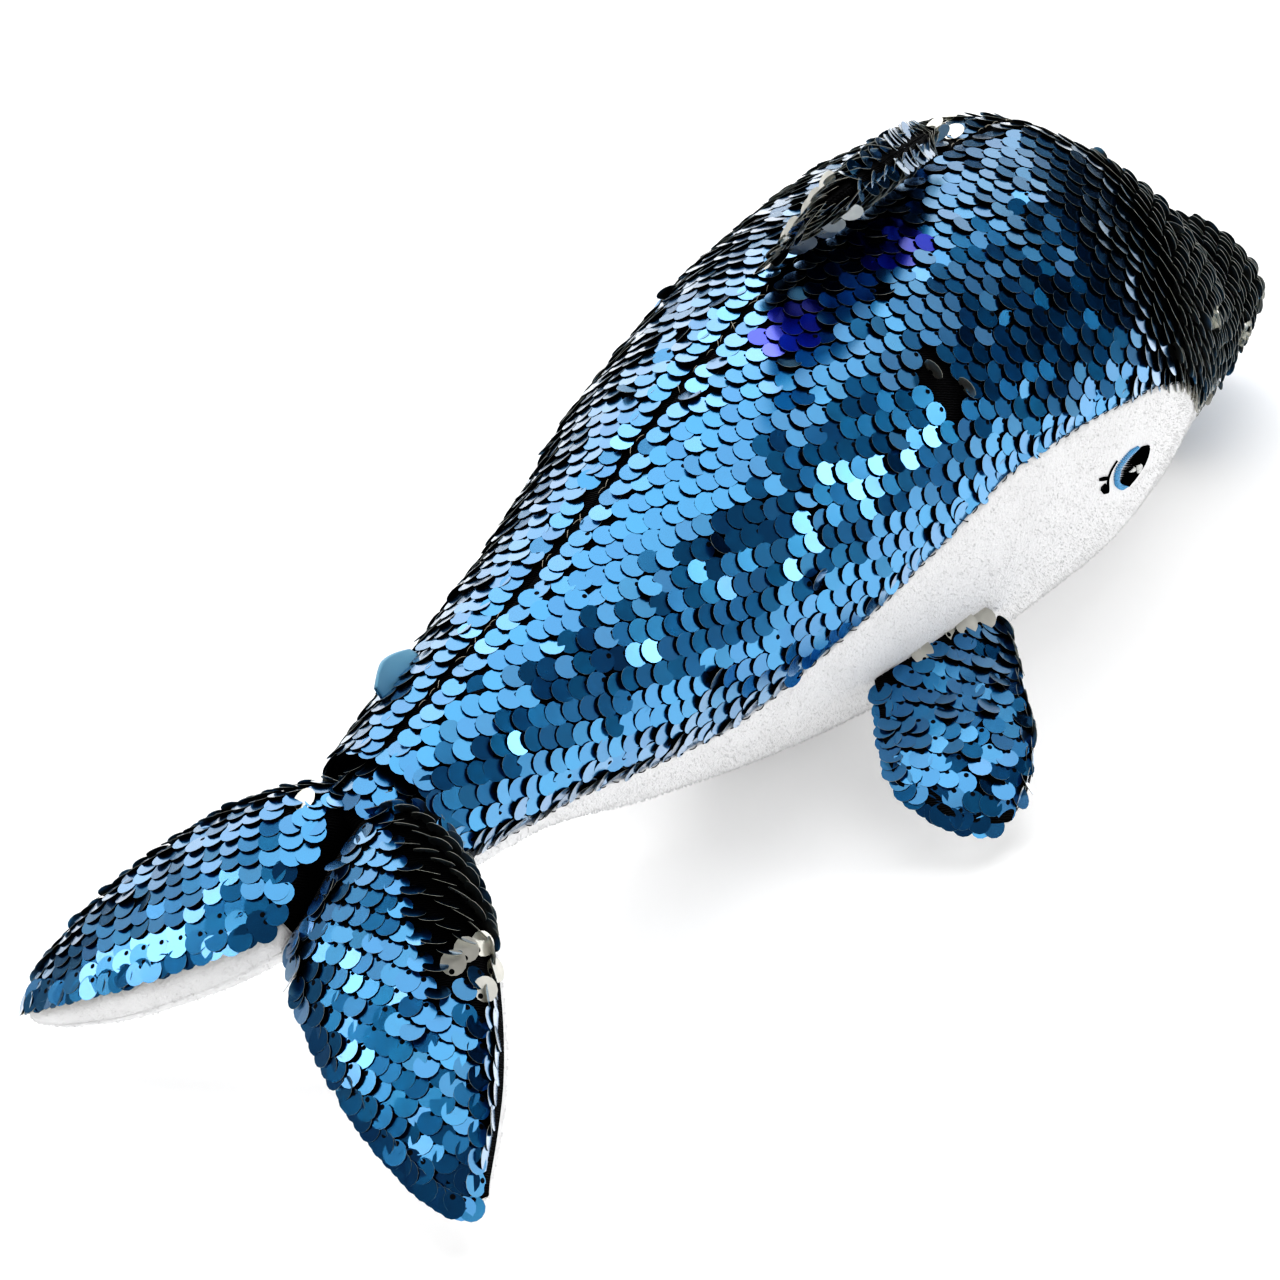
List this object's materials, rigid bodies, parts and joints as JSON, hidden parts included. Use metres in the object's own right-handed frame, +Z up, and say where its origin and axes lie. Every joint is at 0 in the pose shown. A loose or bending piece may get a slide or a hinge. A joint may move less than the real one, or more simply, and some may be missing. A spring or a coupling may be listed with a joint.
{
  "type": "plush dolphin",
  "caption": "Stuffed toy dolphin with a blue reversible-sequin back, white plush belly, blunt beak, embroidered eyes, and a fin, flippers and flukes that bend at their seams.",
  "frame": {"origin": "centre of the bounding box in plan, on the surface the belly rests on", "axes": "+X towards the beak, +Y towards the dolphin's left side, +Z up"},
  "size_m": [0.3654, 0.153, 0.1369],
  "materials": {
    "sequin_cloth": "reversible blue sequins on black knit",
    "white_plush": "short pile plush",
    "filling": "polyester fibre filling",
    "black_thread": "sewing and embroidery thread",
    "blue_thread": "satin-stitch embroidery thread",
    "white_thread": "satin-stitch embroidery thread",
    "satin_label": "plain satin ribbon"
  },
  "bodies": {
    "body": {"body_fill": "filling", "right_back_panel": "sequin_cloth", "left_back_panel": "sequin_cloth", "belly_panel": "white_plush", "dorsal_seam_thread": "black_thread", "right_side_seam_thread": "black_thread", "left_side_seam_thread": "black_thread", "right_eye_rim": "black_thread", "right_eye_iris": "blue_thread", "right_eye_pupil": "black_thread", "right_eye_highlight": "white_thread", "right_eye_lash": "black_thread", "left_eye_rim": "black_thread", "left_eye_iris": "blue_thread", "left_eye_pupil": "black_thread", "left_eye_highlight": "white_thread", "left_eye_lash": "black_thread", "sewn_label": "satin_label"},
    "tail": {"fluke_centre_seam": "black_thread"},
    "right_fluke": {"right_fluke_top_panel": "sequin_cloth", "right_fluke_under_panel": "white_plush", "right_fluke_fill": "filling"},
    "left_fluke": {"left_fluke_top_panel": "sequin_cloth", "left_fluke_under_panel": "white_plush", "left_fluke_fill": "filling"},
    "right_flipper": {"right_flipper_top_panel": "sequin_cloth", "right_flipper_under_panel": "white_plush", "right_flipper_fill": "filling"},
    "left_flipper": {"left_flipper_top_panel": "sequin_cloth", "left_flipper_under_panel": "white_plush", "left_flipper_fill": "filling"},
    "dorsal_fin": {"dorsal_fin_right_panel": "sequin_cloth", "dorsal_fin_left_panel": "sequin_cloth", "dorsal_fin_fill": "filling"}
  },
  "joints": [
    {"name": "tail_pitch", "type": "hinge", "parent": "body", "child": "tail", "pos_m": [-0.12334, 0, 0.048], "axis": [0, 1, 0], "range_deg": [-15, 30], "stiffness_Nm_per_rad": 0.2},
    {"name": "right_fluke_flap", "type": "hinge", "parent": "tail", "child": "right_fluke", "pos_m": [-0.12334, 0, 0.048], "axis": [-0.9272, 0, -0.3746], "range_deg": [-10, 25], "stiffness_Nm_per_rad": 0.1},
    {"name": "left_fluke_flap", "type": "hinge", "parent": "tail", "child": "left_fluke", "pos_m": [-0.12334, 0, 0.048], "axis": [0.9272, 0, 0.3746], "range_deg": [-10, 25], "stiffness_Nm_per_rad": 0.1},
    {"name": "right_flipper_flap", "type": "hinge", "parent": "body", "child": "right_flipper", "pos_m": [0.00391, -0.04096, 0.02345], "axis": [-0.9878, 0.1401, 0.0681], "range_deg": [-30, 35], "stiffness_Nm_per_rad": 0.02},
    {"name": "left_flipper_flap", "type": "hinge", "parent": "body", "child": "left_flipper", "pos_m": [0.00391, 0.04096, 0.02345], "axis": [0.9878, 0.1401, -0.0681], "range_deg": [-30, 35], "stiffness_Nm_per_rad": 0.02},
    {"name": "dorsal_fin_flop", "type": "hinge", "parent": "body", "child": "dorsal_fin", "pos_m": [0.04066, 0, 0.11023], "axis": [0.9983, 0, 0.0582], "range_deg": [-100, 15], "stiffness_Nm_per_rad": 0.02}
  ]
}
